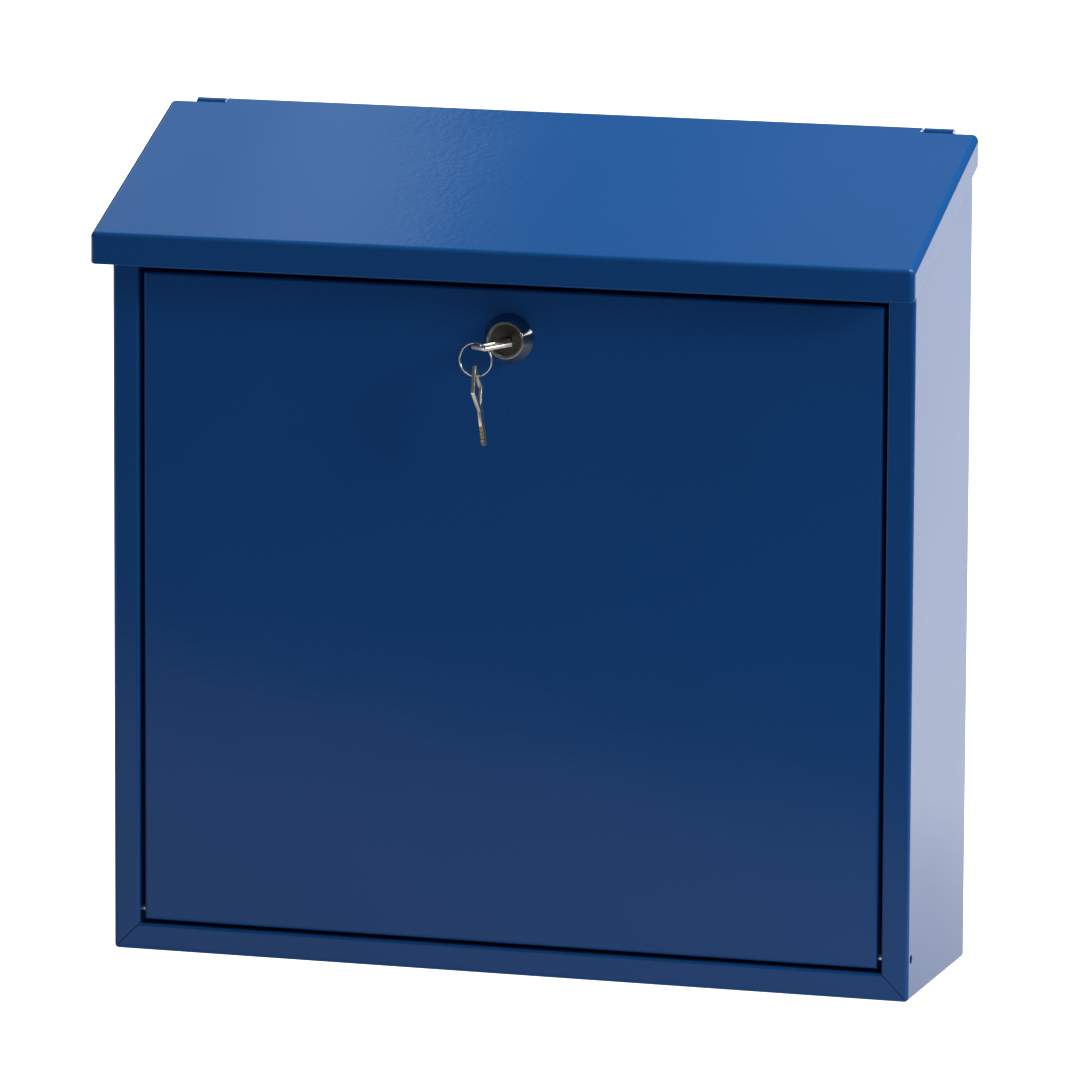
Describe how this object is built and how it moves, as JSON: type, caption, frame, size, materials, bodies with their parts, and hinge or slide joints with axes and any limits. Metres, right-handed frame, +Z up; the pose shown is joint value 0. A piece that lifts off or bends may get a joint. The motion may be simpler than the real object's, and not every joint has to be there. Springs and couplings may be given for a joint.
{
  "type": "wall letterbox",
  "caption": "Sheet-steel wall letterbox with a sloping lift-up lid, a drop-down front door, a cam lock and keys on a split ring.",
  "frame": {"origin": "centre of the base, on its underside", "axes": "+X to the right as seen from the front, +Y towards the wall, +Z up; the door and the lock face -Y"},
  "size_m": [0.37, 0.1282, 0.3676],
  "materials": {
    "blue_powder_coat": "gloss powder coat with fine orange peel",
    "zinc_plated_steel": "bright zinc plating",
    "polished_chrome": "polished chrome plating",
    "cast_zinc": "dull grey casting with a pitted face",
    "wafer_brass": "stamped brass",
    "spring_steel": "plain spring wire",
    "nickel_key": "nickel plate over brass, bright at the edges",
    "nickel_ring": "bright nickel plate"
  },
  "bodies": {
    "case": {"body_wrap": "blue_powder_coat", "back_panel": "blue_powder_coat", "head_rail": "blue_powder_coat", "lid_hinge_rod": "zinc_plated_steel", "door_pin_left": "zinc_plated_steel", "door_pin_right": "zinc_plated_steel"},
    "lid": {"lid_shell": "blue_powder_coat"},
    "door": {"door_panel": "blue_powder_coat", "lock_body": "polished_chrome", "lock_nut": "zinc_plated_steel", "nut_washer": "zinc_plated_steel"},
    "plug": {"lock_plug": "cast_zinc", "plug_wafers": "wafer_brass", "wafer_springs": "spring_steel", "lock_cam": "zinc_plated_steel", "cam_washer": "zinc_plated_steel", "cam_screw": "zinc_plated_steel"},
    "key": {"door_key": "nickel_key"},
    "ring": {"key_ring": "nickel_ring"},
    "spare": {"spare_key": "nickel_key"}
  },
  "joints": [
    {"name": "lid_hinge", "type": "hinge", "parent": "case", "child": "lid", "pos_m": [0, 0.046, 0.36512], "axis": [-1, 0, 0], "range_deg": [0, 110]},
    {"name": "door_hinge", "type": "hinge", "parent": "case", "child": "door", "pos_m": [0, -0.0432, 0.0182], "axis": [1, 0, 0], "range_deg": [0, 105]},
    {"name": "lock_turn", "type": "hinge", "parent": "door", "child": "plug", "pos_m": [0, -0.0475, 0.2808], "axis": [0, -1, 0], "range_deg": [0, 84]},
    {"name": "key_pull", "type": "slide", "parent": "plug", "child": "key", "axis": [0, -1, 0], "range_m": [0, 0.025]},
    {"name": "ring_hang", "type": "hinge", "parent": "key", "child": "ring", "pos_m": [-0.00749, -0.0691, 0.2787], "axis": [0, -1, 0], "range_deg": [-84, 0]},
    {"name": "spare_key_swing", "type": "hinge", "parent": "ring", "child": "spare", "pos_m": [-0.00839, -0.0691, 0.26708], "axis": [1, 0, 0], "range_deg": [-25, 25]}
  ],
  "couplings": [
    {"joint": "ring_hang", "follows": "lock_turn", "ratio": -1}
  ]
}
